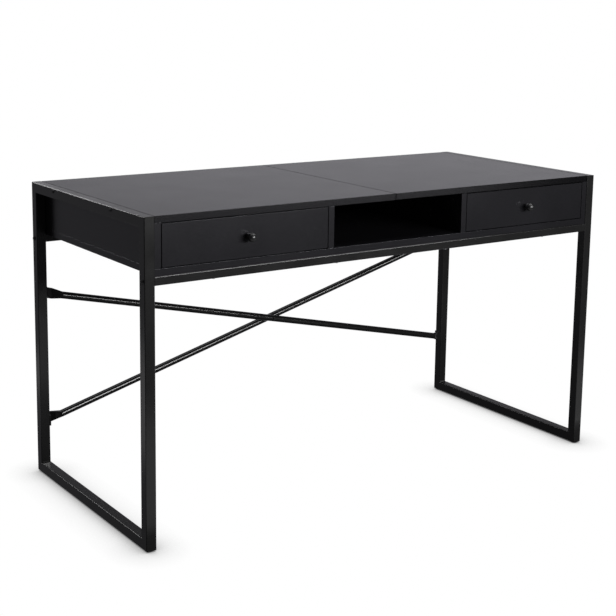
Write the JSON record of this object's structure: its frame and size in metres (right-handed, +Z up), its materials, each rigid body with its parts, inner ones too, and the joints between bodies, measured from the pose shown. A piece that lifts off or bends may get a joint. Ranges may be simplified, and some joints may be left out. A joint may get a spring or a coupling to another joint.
{
  "type": "writing desk",
  "caption": "Free-standing writing desk with two closed tube side frames, a board case with two sliding drawers beside an open niche, and a crossed rear brace.",
  "frame": {"origin": "on the floor under the centre of the outline, drawer knobs included", "axes": "+X to the right along the desk seen from the drawer side, +Y from the drawer fronts to the back, +Z up"},
  "size_m": [1.3552, 0.623, 0.75],
  "materials": {
    "black_steel": "satin black powder coat",
    "black_board": "satin black coated board",
    "black_knob": "semi-gloss black paint",
    "zinc_steel": "bright zinc plate",
    "black_plastic": "moulded, matt"
  },
  "bodies": {
    "desk": {"left_front_leg": "black_steel", "left_rear_leg": "black_steel", "left_top_rail": "black_steel", "left_floor_rail": "black_steel", "right_front_leg": "black_steel", "right_rear_leg": "black_steel", "right_top_rail": "black_steel", "right_floor_rail": "black_steel", "front_cross_rail": "black_steel", "rear_cross_rail": "black_steel", "rail_end_plugs": "zinc_steel", "frame_bolts": "black_steel", "foot_glides": "black_plastic", "front_brace": "black_steel", "rear_brace": "black_steel", "brace_screws": "black_steel", "left_tabletop": "black_board", "right_tabletop": "black_board", "tabletop_plates": "black_steel", "plate_screws": "zinc_steel", "top_rail_screws": "black_steel", "case_bottom": "black_board", "left_side_panel": "black_board", "right_side_panel": "black_board", "left_divider": "black_board", "right_divider": "black_board", "case_back": "black_board", "case_screws": "zinc_steel", "cam_nuts": "zinc_steel", "cam_bolts": "zinc_steel", "cross_rail_screws": "zinc_steel", "slide_screws": "zinc_steel", "left_drawer_left_outer_rail": "zinc_steel", "left_drawer_right_outer_rail": "zinc_steel", "right_drawer_left_outer_rail": "zinc_steel", "right_drawer_right_outer_rail": "zinc_steel"},
    "left_drawer": {"left_drawer_front": "black_board", "left_drawer_left_side": "black_board", "left_drawer_right_side": "black_board", "left_drawer_back": "black_board", "left_drawer_bottom": "black_board", "left_drawer_knob": "black_knob", "left_drawer_knob_screw": "zinc_steel", "left_drawer_screws": "zinc_steel", "left_drawer_left_inner_rail": "zinc_steel", "left_drawer_right_inner_rail": "zinc_steel"},
    "right_drawer": {"right_drawer_front": "black_board", "right_drawer_left_side": "black_board", "right_drawer_right_side": "black_board", "right_drawer_back": "black_board", "right_drawer_bottom": "black_board", "right_drawer_knob": "black_knob", "right_drawer_knob_screw": "zinc_steel", "right_drawer_screws": "zinc_steel", "right_drawer_left_inner_rail": "zinc_steel", "right_drawer_right_inner_rail": "zinc_steel"},
    "left_middle_rails": {"left_drawer_left_middle_rail": "zinc_steel", "left_drawer_right_middle_rail": "zinc_steel"},
    "right_middle_rails": {"right_drawer_left_middle_rail": "zinc_steel", "right_drawer_right_middle_rail": "zinc_steel"}
  },
  "joints": [
    {"name": "left_drawer_slide", "type": "slide", "parent": "desk", "child": "left_drawer", "axis": [0, -1, 0], "range_m": [0, 0.4]},
    {"name": "right_drawer_slide", "type": "slide", "parent": "desk", "child": "right_drawer", "axis": [0, -1, 0], "range_m": [0, 0.4]},
    {"name": "left_middle_rail_slide", "type": "slide", "parent": "desk", "child": "left_middle_rails", "axis": [0, -1, 0], "range_m": [0, 0.2]},
    {"name": "right_middle_rail_slide", "type": "slide", "parent": "desk", "child": "right_middle_rails", "axis": [0, -1, 0], "range_m": [0, 0.2]}
  ],
  "couplings": [
    {"joint": "left_middle_rail_slide", "follows": "left_drawer_slide", "ratio": 0.5},
    {"joint": "right_middle_rail_slide", "follows": "right_drawer_slide", "ratio": 0.5}
  ]
}
